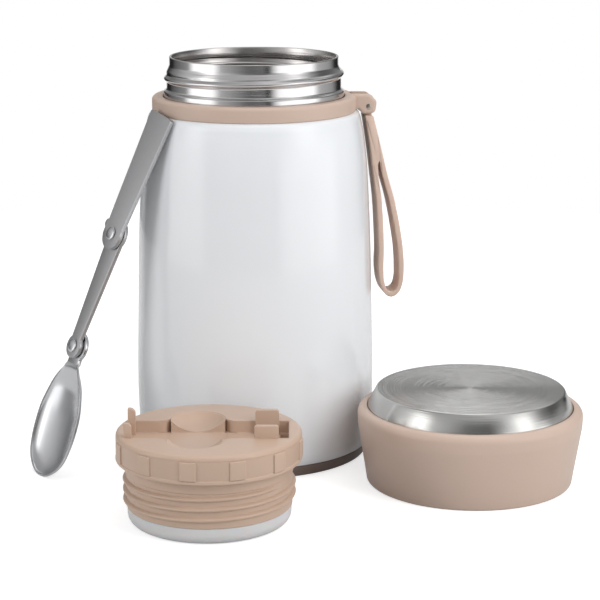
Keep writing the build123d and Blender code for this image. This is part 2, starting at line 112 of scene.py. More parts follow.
class Finish:
    """A finish made of nodes: one shader, and whatever varies it over the surface."""

    def __init__(self, name, tree=None, **sockets):
        if tree is None:
            self.material = bpy.data.materials.new(name)
            self.material.use_nodes = True
            tree = self.material.node_tree
            self.shader = tree.nodes["Principled BSDF"]
            for socket, value in sockets.items():
                self.shader.inputs[socket.replace("_", " ")].default_value = value
        self.tree = tree

    def node(self, kind, settings=None, inputs=None, out=0):
        """Adds a node: its settings first, then the values or links of its sockets."""
        made = self.tree.nodes.new(kind)
        for setting, value in (settings or {}).items():
            if setting == "stops":
                while len(made.color_ramp.elements) < len(value):
                    made.color_ramp.elements.new(1.0)
                for element, (position, colour) in zip(made.color_ramp.elements, value):
                    element.position = position
                    element.color = colour
            else:
                setattr(made, setting, value)
        for socket, value in (inputs or {}).items():
            if isinstance(value, Amount):
                self.tree.links.new(value.socket, made.inputs[socket])
            else:
                made.inputs[socket].default_value = value
        return Amount(self, made.outputs[out])

    def feed(self, socket, amount):
        """Links what varies to one of the shader's sockets."""
        self.tree.links.new(amount.socket, self.shader.inputs[socket])

    def blend(self, share, first, second):
        """A colour between two, by a share."""
        return self.node("ShaderNodeMix", {"data_type": "RGBA"}, {0: share, 6: first, 7: second}, out=2)

    def place(self, scale=(1, 1, 1), shift=(0, 0, 0), turn=(0, 0, 0)):
        """The place on the piece, stretched, shifted and turned."""
        here = self.node("ShaderNodeTexCoord", out="Object")
        change = {"Vector": here, "Scale": scale, "Location": shift, "Rotation": turn}
        return self.node("ShaderNodeMapping", inputs=change)

    def noise(self, scale, detail=3.0, where=None):
        """Smooth random patches, from 0 to 1."""
        where = where or self.place()
        return self.node("ShaderNodeTexNoise", inputs={"Vector": where, "Scale": scale, "Detail": detail})

    def bump(self, height, distance, strength=1.0):
        """Raises the surface by a height between 0 and 1, over a distance in metres."""
        relief = self.node(
            "ShaderNodeBump", inputs={"Height": height, "Distance": distance, "Strength": strength}, out="Normal"
        )
        self.feed("Normal", relief)


def stage_finish(name, colour, camera_glow, gloss_glow):
    """A pale surface that also glows for the camera and in the gloss, and takes shadows."""
    finish = Finish(name, Base_Color=colour, Roughness=0.9)
    path = finish.node("ShaderNodeLightPath", out="Is Camera Ray")
    outputs = path.socket.node.outputs
    gloss = Amount(finish, outputs["Is Glossy Ray"]) + Amount(finish, outputs["Is Transmission Ray"])
    glow = finish.node("ShaderNodeEmission", inputs={"Strength": path * camera_glow + gloss * gloss_glow})
    both = finish.node("ShaderNodeAddShader", inputs={0: Amount(finish, finish.shader.outputs[0]), 1: glow})
    finish.tree.links.new(both.socket, finish.tree.nodes["Material Output"].inputs["Surface"])
    return finish


bpy.ops.object.select_all(action="DESELECT")
bpy.ops.mesh.primitive_circle_add(vertices=96, radius=0.62, fill_type="NGON")
table = bpy.context.object
table.name = "table"
table.data.materials.append(stage_finish("pale_table", (0.6, 0.6, 0.6, 1), 0.65, 0.15).material)

world = bpy.data.worlds.new("studio")
bpy.context.scene.world = world
world.use_nodes = True
room = Finish("studio", tree=world.node_tree)
camera_ray = room.node("ShaderNodeLightPath", out="Is Camera Ray")
gloss_ray = Amount(room, camera_ray.socket.node.outputs["Is Glossy Ray"])
clear_ray = Amount(room, camera_ray.socket.node.outputs["Is Transmission Ray"])
direction = room.node("ShaderNodeTexCoord", out="Generated")
across = room.node("ShaderNodeSeparateXYZ", inputs={0: direction}, out="X")
ahead = Amount(room, across.socket.node.outputs["Y"])
height = Amount(room, across.socket.node.outputs["Z"])
round_studio = room.node("ShaderNodeMath", {"operation": "ARCTAN2"}, {0: across, 1: ahead * -1.0}) / math.tau + 0.5


def lit_wall(*stops):
    """The wall's brightness round the studio, from stops of (degrees to the right of the camera, brightness)."""
    grey = [((degrees + 180) / 360, (level / 2, level / 2, level / 2, 1)) for degrees, level in stops]
    return room.node("ShaderNodeValToRGB", {"stops": grey}, {0: round_studio}) * 2.0


def step_up(amount, low, high):
    """A smooth step from 0 to 1."""
    return room.node("ShaderNodeMapRange", {"interpolation_type": "SMOOTHSTEP"}, {0: amount, 1: low, 2: high})


low_wall = lit_wall(
    (-180, 1.0), (-167, 1.0), (-163, 0.02), (-142, 0.02), (-132, 0.12), (-98, 0.35), (-88, 1.7), (-54, 1.7),
    (-44, 0.55), (-20, 0.3), (-6, 0.16), (15, 0.2), (18, 0.02), (22, 0.02), (25, 0.5), (34, 1.6), (84, 1.8),
    (96, 0.6), (125, 0.4), (142, 0.02), (163, 0.02), (167, 1.0), (180, 1.0),
)
high_wall = lit_wall(
    (-180, 0.38), (-165, 0.3), (-145, 0.18), (-125, 0.33), (-108, 0.58), (-95, 0.75), (-82, 1.0), (-69, 2.2),
    (-59, 2.2), (-48, 0.8), (-25, 0.5), (-8, 0.22), (18, 0.16), (32, 0.5), (46, 1.2), (54, 2.0), (66, 2.0),
    (76, 1.0), (88, 0.35), (105, 0.12), (125, 0.15), (165, 0.3), (180, 0.38),
)
ceiling = lit_wall(
    (-180, 1.7), (-160, 1.2), (-138, 0.4), (-60, 0.5), (0, 0.6), (60, 0.9), (125, 0.4), (160, 1.2), (180, 1.7),
)
upper = step_up(height, 0.02, 0.2)
above = step_up(height, 0.4, 0.65)
walls = low_wall * (1.0 - upper) + high_wall * upper
shine = walls * (1.0 - above) + ceiling * above
soft = 0.22 + step_up(across + height * 0.6 - ahead * 0.5, -0.9, 1.1) * 0.4
hidden = 1.0 - camera_ray
mirrored = gloss_ray + clear_ray
strength = camera_ray + hidden * (mirrored * shine + (1.0 - mirrored) * soft)
world.node_tree.links.new(strength.socket, world.node_tree.nodes["Background"].inputs["Strength"])
world.node_tree.nodes["Background"].inputs["Color"].default_value = (1, 1, 1, 1)

# ---- Base pad ----
# A disc of dark rubber, cut from sheet and glued into the base cup, so that the jar stands without slipping.
# Shallow rings are pressed into its underside.


def rounded(corners, steps=5):
    """The points of an outline in millimetres, where a corner (across, up, radius) becomes the points of an arc."""
    points = []
    for number, corner in enumerate(corners):
        here = Vector(corner[:2])
        if len(corner) == 2:
            points.append(here)
            continue
        before = (Vector(corners[number - 1][:2]) - here).normalized()
        after = (Vector(corners[(number + 1) % len(corners)][:2]) - here).normalized()
        half_turn = (math.pi - before.angle(after)) / 2
        centre = here + (before + after).normalized() * corner[2] / math.cos(half_turn)
        first = here + before * corner[2] * math.tan(half_turn) - centre
        last = here + after * corner[2] * math.tan(half_turn) - centre
        points += [centre + first.slerp(last, step / steps) * corner[2] for step in range(steps + 1)]
    return points


def draw(name, points, closed=True):
    """Starts a piece in edit mode as a chain of edges through points (across, up), upright on the XZ plane."""
    bpy.ops.object.select_all(action="DESELECT")
    bpy.ops.mesh.primitive_plane_add(size=0.001)
    piece = bpy.context.object
    piece.name = piece.data.name = name
    bpy.ops.object.mode_set(mode="EDIT")
    bpy.ops.mesh.merge(type="CENTER")
    here = Vector((0, 0, 0))
    for number, (across, up) in enumerate(points):
        there = Vector((across, 0, up)) / 1000
        if number == 0:
            bpy.ops.transform.translate(value=there - here)
        else:
            bpy.ops.mesh.extrude_region_move(TRANSFORM_OT_translate={"value": there - here})
        here = there
    if closed:
        shape = bmesh.from_edit_mesh(piece.data)
        shape.verts.ensure_lookup_table()
        shape.verts[0].select = True
        shape.select_flush(True)
        bpy.ops.mesh.edge_face_add()
    bpy.ops.mesh.select_all(action="SELECT")
    return piece


def close_up():
    """Joins what meets, turns the faces outwards and leaves edit mode."""
    bpy.ops.mesh.select_all(action="SELECT")
    bpy.ops.mesh.remove_doubles(threshold=1e-6)
    bpy.ops.mesh.normals_make_consistent(inside=False)
    bpy.ops.object.mode_set(mode="OBJECT")


def turned(name, corners, closed=True, steps=160):
    """A round piece, spun about the upright axis from its half section. Without closing, its ends lie on the axis."""
    piece = draw(name, rounded(corners), closed)
    bpy.ops.mesh.spin(steps=steps, angle=math.tau, center=(0, 0, 0), axis=(0, 0, 1))
    close_up()
    return piece


def soften(piece, width, segments=3, angle=30):
    """Rounds every edge sharper than an angle by a width in millimetres."""
    bevel = piece.modifiers.new("soften", "BEVEL")
    bevel.width = width / 1000
    bevel.segments = segments
    bevel.limit_method = "ANGLE"
    bevel.angle_limit = math.radians(angle)
    bevel.use_clamp_overlap = True
    bpy.context.view_layer.objects.active = piece
    bpy.ops.object.modifier_apply(modifier=bevel.name)


def finish_piece(piece, body, slot, finish, *nodes, smooth=35):
    """Smooths the piece, gives it its finish and hangs it on its body in place of its CAD nodes."""
    bpy.ops.object.select_all(action="DESELECT")
    bpy.context.view_layer.objects.active = piece
    piece.select_set(True)
    bpy.ops.object.shade_smooth_by_angle(angle=math.radians(smooth))
    piece.data.materials.clear()
    piece.data.materials.append(finish.material)
    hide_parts(*nodes)
    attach(piece, body)


def rubber(name, colour, grain):
    """Soft moulded rubber: matt, with a fine grain and paler where it is rubbed."""
    finish = Finish(name, Roughness=0.6)
    patches = finish.noise(60.0)
    finish.feed("Base Color", finish.blend(patches, colour, [c * 1.25 for c in colour[:3]] + [1]))
    finish.feed("Roughness", 0.5 + patches * 0.2)
    finish.bump(finish.noise(grain, detail=2.0), 0.00004)
    return finish


pad = turned(
    "base_mat",
    [(0, 0.4), (8, 0.4), (8, 0), (30, 0), (30, 0.4), (32, 0.4), (32, 0), (38, 0), (38, 2.9), (0, 2.9)],
    closed=False,
)
soften(pad, 0.15, 2)
finish_piece(pad, "jar", "rubber_pad", rubber("dark_rubber", (0.035, 0.031, 0.029, 1), 1500.0), "base_pad")

# ---- Base cup ----
# The plastic cup under the jar, moulded in one piece and snapped onto the shell's rolled foot. Its colour is painted
# dark with painted shade from under the white shell, so its side shows as a dark ring.


def moulded(name, colour, roughness=0.38, grain=900.0, coat=0.0):
    """Moulded plastic: satin, with a faint grain, cloudy patches and a little shine."""
    finish = Finish(name, Roughness=roughness, IOR=1.49, Coat_Weight=coat)
    cloud = finish.noise(22.0, detail=4.0)
    deep = [c * 0.95 for c in colour[:3]] + [1]
    pale = [min(1, c * 1.04) for c in colour[:3]] + [1]
    finish.feed("Base Color", finish.blend(cloud, deep, pale))
    finish.feed("Roughness", (roughness - 0.05) + finish.noise(140.0) * 0.1)
    finish.bump(finish.noise(grain, detail=3.0), 0.00003)
    return finish


cup = turned(
    "base_ring",
    [
        (0, 3.0), (38.2, 3.0), (38.2, 0), (50.9, 0, 0.8), (52.3, 5.0, 0.3), (51.1, 5.0), (51.1, 6.5), (49.0, 6.5),
        (48.4, 4.6), (0, 4.6),
    ],
    closed=False,
)
# The cup's dark brown colour is painted shade: it stands in for the shade that falls on the cup under the shell and
# behind the pieces in front of it.
finish_piece(cup, "jar", "taupe_plastic", moulded("taupe_plastic", (0.16, 0.115, 0.095, 1)), "base_cup")

# ---- Outer shell ----
# The jar's outer can: steel sheet drawn to a soft barrel with a rounded shoulder, rolled in at its foot and
# powder coated in glossy white.

STEEL = 0.8


def eased(points, steps=8):
    """Points of a smooth curve through points (across, up)."""
    line = [Vector(p) for p in points]
    line = [line[0] * 2 - line[1]] + line + [line[-1] * 2 - line[-2]]
    curve = []
    for a, b, c, d in zip(line, line[1:], line[2:], line[3:]):
        before, along, after = (b - a).length, (c - b).length, (d - c).length
        out_slope = ((b - a) / before * along + (c - b) / along * before).normalized() * along
        in_slope = ((c - b) / along * after + (d - c) / after * along).normalized() * along
        for step in range(steps):
            t = step / steps
            curve.append(
                b * (2 * t**3 - 3 * t**2 + 1)
                + out_slope * (t**3 - 2 * t**2 + t)
                + c * (3 * t**2 - 2 * t**3)
                + in_slope * (t**3 - t**2)
            )
    return curve + [line[-2]]


side = eased(
    [
        (53.3, 9.0), (54.0, 26.0), (53.4, 69.0), (51.75, 118.0), (50.3, 139.0), (48.4, 151.6), (47.6, 154.9),
        (46.9, 156.3), (45.5, 157.15),
    ]
)
shell_outside = [(51.4, 5.2), (52.3, 5.2), (52.6, 5.6)] + [p[:] for p in side] + [(44.5, 157.2), (39.2, 157.2)]
shell_inside = [(39.2, 157.2 - STEEL), (44.5, 157.2 - STEEL)] + [(p[0] - STEEL, p[1] - 0.6) for p in reversed(side)]
shell = turned("outer_can", shell_outside + shell_inside + [(51.4, 8.0)], steps=192)

paint = Finish("white_powder_coat", Base_Color=(0.8, 0.81, 0.83, 1), IOR=1.5, Coat_Weight=0.6, Coat_Roughness=0.05)
paint.feed("Base Color", paint.blend(paint.noise(9.0), (0.785, 0.808, 0.84, 1), (0.81, 0.82, 0.838, 1)))
paint.feed("Roughness", 0.2 + paint.noise(35.0) * 0.08)
orange_peel = paint.noise(330.0, detail=2.0)
paint.bump(orange_peel, 0.00002, 0.35)
finish_piece(shell, "jar", "white_paint", paint, "outer_shell")

# ---- Shell bottom and getter ----
# A steel disc welded into the shell's foot closes the vacuum space, and a dull metal pellet on it soaks up the last
# of the gas. Neither is seen once the base cup is on.


def round_steel(name, colour, roughness, tilt, grooves, axis=(0.0, 0.0), flat_tilt=0.5):
    """Steel finished on a lathe: fine grooves run round an axis, and tilt the shine up and down or in and out."""
    finish = Finish(name, Metallic=1.0, Roughness=roughness)
    here = finish.place(shift=(-axis[0] / 1000, -axis[1] / 1000, 0))
    flat = finish.node("ShaderNodeVectorMath", {"operation": "MULTIPLY"}, {0: here, 1: (1, 1, 0)})
    reach = finish.node("ShaderNodeVectorMath", {"operation": "LENGTH"}, {0: flat}, out="Value")
    outward = finish.node("ShaderNodeVectorMath", {"operation": "NORMALIZE"}, {0: flat})
    up = finish.node("ShaderNodeSeparateXYZ", inputs={0: here}, out="Z")
    heading = finish.node("ShaderNodeSeparateXYZ", inputs={0: outward}, out="X")
    lines = finish.node("ShaderNodeCombineXYZ", inputs={0: reach * grooves, 1: up * grooves, 2: heading * 2.5})
    scratch = finish.noise(1.0, detail=2.0, where=lines)
    facing = finish.node("ShaderNodeNewGeometry", out="Normal")
    level = finish.node("ShaderNodeSeparateXYZ", inputs={0: facing}, out="Z")
    push = (scratch - 0.5) * (level**8 * (flat_tilt - tilt) + tilt)
    lean = finish.node("ShaderNodeVectorMath", {"operation": "SUBTRACT"}, {0: outward, 1: (0, 0, 1)})
    lean = finish.node("ShaderNodeVectorMath", {"operation": "SCALE"}, {0: lean, "Scale": push})
    normal = finish.node("ShaderNodeVectorMath", {"operation": "ADD"}, {0: facing, 1: lean})
    finish.feed("Normal", finish.node("ShaderNodeVectorMath", {"operation": "NORMALIZE"}, {0: normal}))
    finish.feed("Roughness", (roughness - 0.04) + scratch * 0.08)
    finish.feed("Base Color", finish.blend(finish.noise(30.0), colour, [c * 0.93 for c in colour[:3]] + [1]))
    return finish


def finish_nodes(finish, *nodes):
    """Gives a finish to CAD nodes that stay as they are."""
    for node in nodes:
        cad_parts[node].data.materials.clear()
        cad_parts[node].data.materials.append(finish.material)


finish_nodes(round_steel("hidden_steel", (0.5, 0.5, 0.5, 1), 0.35, 0.3, 4000.0), "shell_bottom")
pellet = Finish("getter_metal", Metallic=1.0)
pellet.feed("Base Color", pellet.blend(pellet.noise(400.0), (0.16, 0.16, 0.17, 1), (0.3, 0.3, 0.31, 1)))
pellet.feed("Roughness", 0.55 + pellet.noise(900.0) * 0.25)
pellet.bump(pellet.noise(1800.0), 0.0001)
finish_nodes(pellet, "getter")

# ---- Neck ----
# The bare upper end of the outer wall, drawn thin, polished on a lathe and rolled into one turn of thread for the
# cap. It flares at its foot, where it is welded to the shoulder under the collar.

THREAD_LEAD = 4.3


def rows(across, low, high, gap=0.3):
    """Points up a straight wall, close enough together to roll a thread into it."""
    count = math.ceil(abs(high - low) / gap)
    return [(across, low + (high - low) * number / count) for number in range(count + 1)]


def roll_thread(piece, start_z, start_angle, turns, half_width, proud, where, full=1.0):
    """Presses a spiral ridge out of a wall, fading at both ends. A full ridge is rounder than a rolled one."""
    group = piece.vertex_groups.new(name="thread")
    for vertex in piece.data.vertices:
        x, y, z = vertex.co * 1000
        if not where(math.hypot(x, y), z):
            continue
        turn = (math.degrees(math.atan2(y, x)) - start_angle) % 360 / 360
        share = 0.0
        while turn <= turns:
            off = abs(z - start_z - THREAD_LEAD * turn) / half_width
            if off < 1:
                fade = min(1.0, turn / 0.06, (turns - turn) / 0.06)
                share = max(share, fade * math.cos(off * math.pi / 2) ** full)
            turn += 1
        if share > 0:
            group.add([vertex.index], share, "REPLACE")
    ridge = piece.modifiers.new("thread", "DISPLACE")
    ridge.vertex_group = group.name
    ridge.mid_level = 0.0
    ridge.strength = proud / 1000
    bpy.context.view_layer.objects.active = piece
    bpy.ops.object.modifier_apply(modifier=ridge.name)


neck = turned(
    "neck",
    [(37.3, 180.95), (37.8, 180.95), (37.8, 177.6, 3.0), (39.1, 174.8, 3.0)]
    + rows(39.1, 174.6, 168.4)
    + [(39.1, 167.2, 1.0), (40.4, 166.3, 0.7), (40.4, 157.2), (39.7, 157.2), (39.7, 166.0), (38.3, 167.1)]
    + [(38.3, 174.5), (37.3, 177.5)],
    steps=192,
)
roll_thread(neck, 170.6, 82.0, 1.0, 1.7, 1.2, lambda r, z: r > 38.7 and z > 168, full=1.3)
polished = round_steel("polished_neck", (0.66, 0.65, 0.65, 1), 0.16, 0.35, 5000.0)
finish_piece(neck, "jar", "steel_polished", polished, "neck_sleeve", smooth=50)

# ---- Inner can ----
# The steel can that holds the food, drawn in at the throat and flared out to the lip, with a rolled thread inside
# for the stopper. Its lip is welded to the neck and polished bright.

lip = [(36.95, 181.4), (37.3, 181.45), (37.65, 181.4), (37.8, 181.2), (37.8, 180.95), (37.25, 180.95)]
can = turned(
    "inner_can",
    [(0, 14.0), (43.2, 14.0, 9.2), (43.2, 146.5, 6.2), (34.7, 155.0, 3.8), (34.7, 164.2, 0.5), (36.8, 165.6, 0.5)]
    + rows(36.8, 166.2, 178.0)
    + [(36.8, 181.2)]
    + lip
    + [(37.2, 165.0), (35.5, 163.4), (35.5, 155.3), (44.0, 146.8, 7.0), (44.0, 13.2, 10.0), (0, 13.2)],
    closed=False,
    steps=192,
)
roll_thread(can, 169.9, 0.0, 1.5, 1.3, -0.9, lambda r, z: r < 36.9 and z > 165.9, full=1.0)
inside_steel = round_steel("inside_steel", (0.60, 0.58, 0.57, 1), 0.22, 0.4, 4000.0)
finish_piece(can, "jar", "steel_polished", inside_steel, "inner_vessel", smooth=50)

# ---- Collar ----
# The beige plastic ring that snaps round the neck's foot and covers the weld, moulded in one with the two ears of the
# strap's hinge. The ring is notched between the ears, so that the strap can swing up.

STRAP_TURN = math.radians(9.0)
PIN_REACH = 51.0
PIN_Z = 158.4
EAR_OUTSIDE = 7.0
EAR_INSIDE = 3.2


def plate(name, corners, low, high):
    """A flat plate with an outline on the XZ plane, from one depth to another along Y."""
    piece = draw(name, rounded(corners))
    bpy.ops.mesh.edge_face_add()
    bpy.ops.transform.translate(value=(0, low / 1000, 0))
    bpy.ops.mesh.extrude_region_move(TRANSFORM_OT_translate={"value": (0, (high - low) / 1000, 0)})
    close_up()
    return piece


def carve(piece, cutter, operation="DIFFERENCE"):
    """Cuts one piece with another, or joins them, and takes the other away."""
    cut = piece.modifiers.new("carve", "BOOLEAN")
    cut.operation = operation
    cut.solver = "EXACT"
    cut.object = cutter
    bpy.context.view_layer.objects.active = piece
    bpy.ops.object.modifier_apply(modifier=cut.name)
    bpy.data.objects.remove(cutter)


def place_piece(piece, matrix):
    """Moves and turns a finished mesh to its place, and leaves its object at the origin."""
    bpy.ops.object.select_all(action="DESELECT")
    bpy.context.view_layer.objects.active = piece
    piece.select_set(True)
    piece.matrix_world = matrix
    bpy.ops.object.transform_apply(location=True, rotation=True, scale=True)


def gather(piece, *others):
    """Joins other meshes into one piece."""
    bpy.ops.object.select_all(action="DESELECT")
    for other in others:
        other.select_set(True)
    piece.select_set(True)
    bpy.context.view_layer.objects.active = piece
    bpy.ops.object.join()


to_strap = Matrix.Rotation(STRAP_TURN, 4, "Z")
collar = turned("collar_ring", [(40.8, 157.2), (45.7, 157.2, 0.5), (45.7, 164.0, 1.6), (40.8, 164.0, 0.5)])
place_piece(collar, Matrix.Rotation(-STRAP_TURN, 4, "Z"))
carve(collar, plate("notch", [(43.5, 161.0), (48.5, 161.0), (48.5, 166.0), (43.5, 166.0)], -EAR_INSIDE, EAR_INSIDE))
lug_outline = [
    (43.5, 164.0), (PIN_REACH + 1.2, 163.8, 2.5), (PIN_REACH + 3.9, PIN_Z + 2.1, 2.0), (PIN_REACH + 3.2, 155.1, 2.4),
    (48.4, 155.1), (46.8, 157.4), (43.5, 157.4),
]
lug = plate("lug", lug_outline, -EAR_OUTSIDE, EAR_OUTSIDE)
soften(lug, 1.9, 5)
slot_outline = [(46.9, 151.4), (57.0, 151.4), (57.0, 166.0), (46.9, 166.0)]
carve(lug, plate("slot", slot_outline, -EAR_INSIDE, EAR_INSIDE))
carve(lug, plate("notch", [(42.0, 161.0), (48.5, 161.0), (48.5, 166.0), (42.0, 166.0)], -EAR_INSIDE, EAR_INSIDE))
gather(collar, lug)
place_piece(collar, to_strap)
finish_piece(collar, "jar", "beige_plastic", moulded("beige_plastic", (0.56, 0.425, 0.35, 1)), "collar")

# ---- Strap pin ----
# A short steel pin pressed through both ears, on which the strap swings. Its ends are rounded.

PIN_HALF = 7.15
PIN_R = 1.5

pin_side = rounded([(0, -PIN_HALF), (PIN_R, -PIN_HALF, 0.5), (PIN_R, PIN_HALF, 0.5), (0, PIN_HALF)])
pin = draw("hinge_pin", pin_side, closed=False)
bpy.ops.mesh.spin(steps=48, angle=math.tau, center=(0, 0, 0), axis=(0, 0, 1))
close_up()
lay_pin = Matrix.Translation((PIN_REACH / 1000, 0, PIN_Z / 1000)) @ Matrix.Rotation(math.pi / 2, 4, "X")
place_piece(pin, to_strap @ lay_pin)
pin_steel = Finish("pin_steel", Metallic=1.0)
pin_steel.feed("Base Color", pin_steel.blend(pin_steel.noise(200.0), (0.42, 0.36, 0.32, 1), (0.55, 0.48, 0.43, 1)))
pin_steel.feed("Roughness", 0.18 + pin_steel.noise(700.0) * 0.15)
finish_piece(pin, "jar", "steel_polished", pin_steel, "strap_pin")

# ---- Carry strap ----
# One moulding of soft beige silicone: a hub that turns on the pin, a stem, and a long flat loop for a finger.
# It hangs down the jar's side.

STRAP_HALF = 6.5
HUB_HALF = 2.9


def even(points, count):
    """The same line, cut into equal steps."""
    marks = [0.0]
    for a, b in zip(points, points[1:]):
        marks.append(marks[-1] + (b - a).length)
    spread = []
    segment = 0
    for number in range(count):
        mark = marks[-1] * number / (count - 1)
        while segment < len(points) - 2 and marks[segment + 1] < mark:
            segment += 1
        share = (mark - marks[segment]) / (marks[segment + 1] - marks[segment])
        spread.append(points[segment].lerp(points[segment + 1], share))
    return spread


strap_outside = even(eased([
    (49.9, 154.3), (51.3, 145.8), (52.6, 136.9), (53.7, 127.9), (55.2, 115.8), (56.0, 103.7), (56.5, 91.4),
    (56.4, 82.3), (57.4, 76.0), (58.9, 72.4), (60.2, 70.9), (62.4, 70.0), (64.6, 70.8), (66.1, 72.3), (67.6, 76.0),
    (68.2, 81.8), (67.8, 91.1), (66.0, 103.4), (63.4, 115.5), (59.9, 127.7), (57.7, 136.8), (55.5, 145.7),
    (53.3, 154.1),
]), 128)
strap_opening = even(eased([
    (56.3, 133.35), (56.1, 133.0), (55.95, 127.9), (57.5, 115.7), (58.4, 103.6), (58.8, 91.4), (58.7, 82.2),
    (59.1, 77.4), (60.6, 73.4), (62.5, 72.3), (64.5, 73.4), (65.8, 77.3), (65.9, 81.9), (65.4, 91.1), (63.5, 103.4),
    (61.0, 115.6), (57.6, 127.8), (56.5, 133.0),
]), 128)
strap = draw("strap", strap_outside)
bpy.ops.object.mode_set(mode="OBJECT")
opening = draw("opening", strap_opening)
bpy.ops.object.mode_set(mode="OBJECT")
gather(strap, opening)
bpy.ops.object.mode_set(mode="EDIT")
bpy.ops.mesh.select_all(action="SELECT")
bpy.ops.mesh.bridge_edge_loops()
bpy.ops.mesh.select_all(action="SELECT")
bpy.ops.transform.translate(value=(0, -STRAP_HALF / 1000, 0))
bpy.ops.mesh.extrude_region_move(TRANSFORM_OT_translate={"value": (0, 2 * STRAP_HALF / 1000, 0)})
close_up()
soften(strap, 0.55, 3, angle=40)
stem = plate("stem", [(49.4, 158.0), (52.9, 158.0), (53.35, 153.8), (49.95, 153.8)], -HUB_HALF, HUB_HALF)
soften(stem, 0.4, 3)
hub = draw("hub", rounded([(1.55, -HUB_HALF), (2.8, -HUB_HALF, 0.4), (2.8, HUB_HALF, 0.4), (1.55, HUB_HALF)]))
bpy.ops.mesh.spin(steps=64, angle=math.tau, center=(0, 0, 0), axis=(0, 0, 1))
close_up()
place_piece(hub, lay_pin)
gather(strap, stem, hub)
place_piece(strap, to_strap)
silicone = Finish("beige_silicone", IOR=1.43, Subsurface_Weight=0.12, Subsurface_Scale=0.004)
silicone.feed("Base Color", silicone.blend(silicone.noise(25.0), (0.62, 0.47, 0.39, 1), (0.68, 0.52, 0.43, 1)))
silicone.feed("Roughness", 0.46 + silicone.noise(160.0) * 0.12)
silicone.bump(silicone.noise(1300.0), 0.00003)
finish_piece(strap, "strap", "beige_silicone", silicone, "carry_strap")

# ---- Stopper plug ----
# The lower part of the stopper: a hollow beige moulding with a coarse round thread, a flange that rests on the jar's
# lip, and grips for the fingers round the flange. Foam fills it.

STOPPER = Matrix.Translation((-0.0170, -0.1028, 0))
FLANGE_R = 38.5
PLUG_R = 34.5
GRIP_ANGLE = math.radians(10)
GRIP_FIRST = math.radians(264.7)

plug = turned(
    "stopper_plug",
    [(0, 1.7), (32.3, 1.7, 1.5), (32.3, 7.4), (PLUG_R, 7.4, 0.3)]
    + rows(PLUG_R, 8.0, 21.8, gap=0.2)
    + [(34.9, 22.2), (34.9, 26.3, 0.3), (37.9, 26.8, 0.3), (38.7, 27.2, 0.4), (38.7, 28.3, 0.5), (38.3, 28.7, 0.3)]
    + [(FLANGE_R, 29.4), (FLANGE_R, 36.75)]
    + [(36.5, 36.75), (36.5, 28.0, 1.0), (32.5, 24.6, 1.0), (32.5, 9.7), (30.3, 8.3), (30.3, 3.7), (0, 3.7)],
    closed=False,
    steps=192,
)
roll_thread(plug, 9.8, 150.0, 2.5, 1.05, 1.4, lambda r, z: r > 34.2 and 7.9 < z < 21.9, full=0.55)
grip = draw("grip", rounded([(37.9, 28.6), (39.1, 28.6, 0.4), (39.1, 36.4, 0.4), (37.9, 36.4)]))
bpy.ops.mesh.spin(steps=8, angle=GRIP_ANGLE, center=(0, 0, 0), axis=(0, 0, 1))
bpy.ops.mesh.select_all(action="SELECT")
bpy.ops.mesh.remove_doubles(threshold=1e-6)
bpy.ops.mesh.fill_holes(sides=0)
close_up()
soften(grip, 0.45, 4, angle=50)
place_piece(grip, Matrix.Rotation(GRIP_FIRST, 4, "Z"))
bpy.ops.object.mode_set(mode="EDIT")
bpy.ops.mesh.select_all(action="SELECT")
bpy.ops.mesh.spin(steps=11, dupli=True, angle=math.tau * 11 / 12, center=(0, 0, 0), axis=(0, 0, 1))
bpy.ops.object.mode_set(mode="OBJECT")
gather(plug, grip)
place_piece(plug, STOPPER)
stopper_beige = moulded("stopper_beige", (0.53, 0.385, 0.295, 1), roughness=0.34)
finish_piece(plug, "stopper", "beige_plastic", stopper_beige, "stopper_body")

foam = Finish("white_foam")
foam.feed("Base Color", foam.blend(foam.noise(500.0), (0.7, 0.7, 0.68, 1), (0.82, 0.82, 0.8, 1)))
foam.feed("Roughness", 0.85 + foam.noise(300.0) * 0.1)
foam.bump(foam.noise(1200.0), 0.0002)
finish_nodes(foam, "stopper_foam", "cap_foam")

# ---- Stopper plate ----
# The top of the stopper, a beige moulding welded onto the flange: a tray for the folded spoon with a pocket at one
# end, a scoop at each side of it for a finger and a thumb, rounded where it meets the tray's walls, and two pairs of
# snap hooks that hold the spoon.

PLATE_Z = 38.7
TRAY_Z = 33.2
TRAY_END = 33.0
TRAY_HALF = 12.3
SCOOP_RADIUS = 15.54
SCOOP_X = -5.2
SCOOP_Y = 15.0
SCOOP_Z = PLATE_Z - 5.2 + SCOOP_RADIUS
WALL_RADIUS = 11.5
FILLET_RADIUS = 5.0
FILLET_X = 16.44
FILLET_Y = 17.3
HOOK_THICK = 2.4

top = turned(
    "stopper_top",
    [(0, 31.4), (35.4, 31.4), (35.4, 36.8), (FLANGE_R, 36.8), (FLANGE_R, PLATE_Z, 1.7), (0, PLATE_Z)],
    closed=False,
    steps=192,
)
tray_outline = [(-TRAY_END, TRAY_Z), (TRAY_END, TRAY_Z), (TRAY_END, PLATE_Z + 3), (-TRAY_END, PLATE_Z + 3)]
tray = plate("tray", tray_outline, -TRAY_HALF, TRAY_HALF)
soften(tray, 0.7, 4)
carve(top, tray)
pocket = [(29.4, 31.9), (TRAY_END, 31.9), (TRAY_END, PLATE_Z), (29.4, PLATE_Z)]
carve(top, plate("pocket", pocket, -11.0, 11.0))
rim_outline = [(-13.0, PLATE_Z + 0.5), (-12.1, PLATE_Z - 0.4), (12.1, PLATE_Z - 0.4), (13.0, PLATE_Z + 0.5)]
tray_rim = plate("rim", rim_outline, -33.2, 33.2)
place_piece(tray_rim, Matrix.Rotation(math.pi / 2, 4, "Z"))
carve(top, tray_rim)
fillet_turns = [step * math.radians(82) / 8 for step in range(9)]
wall_turns = [math.radians(8 - step * 22 / 6) for step in range(7)]
